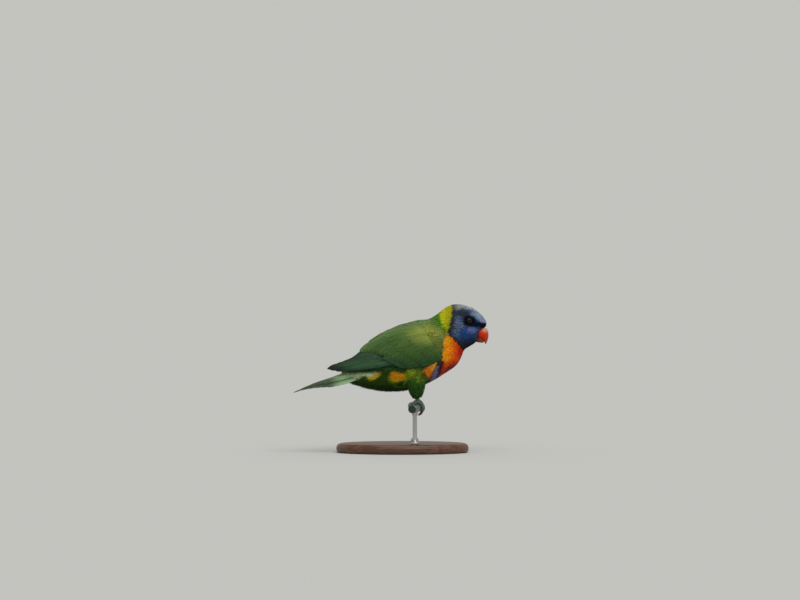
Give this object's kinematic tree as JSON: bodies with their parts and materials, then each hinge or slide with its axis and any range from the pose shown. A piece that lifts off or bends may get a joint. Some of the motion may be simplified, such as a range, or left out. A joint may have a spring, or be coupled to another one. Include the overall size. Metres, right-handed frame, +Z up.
{
  "type": "rainbow lorikeet model on a perch stand",
  "caption": "Life-size rainbow lorikeet crouched on a short length of green steel rod, held by two thin rods on an oval wooden base.",
  "frame": {"origin": "middle of the oval base's underside", "axes": "+X the way the bird faces, +Y its left side, +Z up"},
  "size_m": [0.248, 0.1126, 0.1893],
  "materials": {
    "head_feathers": "violet-blue stiff face feathers",
    "collar_feathers": "yellow-green collar, green and orange breast feathers",
    "body_feathers": "green back, orange and violet underside feathers",
    "wing_feathers": "green vanes with darker edges",
    "tail_feathers": "green vanes with darker edges",
    "bill": "smooth orange-red horn",
    "eye": "wet, dark red-brown iris",
    "foot_skin": "grey scaled skin",
    "claw": "dark horn",
    "perch_paint": "weathered dark green gloss paint",
    "base_wood": "satin oiled hardwood",
    "stand_steel": "satin stainless steel"
  },
  "bodies": {
    "root": {"head": "head_feathers", "neck": "collar_feathers", "torso": "body_feathers", "tail": "tail_feathers", "bill_upper": "bill", "bill_lower": "bill", "perch": "perch_paint", "stand_base": "base_wood", "eye_left": "eye", "eye_right": "eye", "wing_left": "wing_feathers", "wing_right": "wing_feathers", "leg_left": "body_feathers", "leg_right": "body_feathers", "foot_left": "foot_skin", "foot_right": "foot_skin", "claw_inner_front_left": "claw", "claw_inner_front_right": "claw", "claw_outer_front_left": "claw", "claw_outer_front_right": "claw", "claw_inner_back_left": "claw", "claw_inner_back_right": "claw", "claw_outer_back_left": "claw", "claw_outer_back_right": "claw", "stand_rod_left": "stand_steel", "stand_rod_right": "stand_steel"}
  },
  "joints": []
}
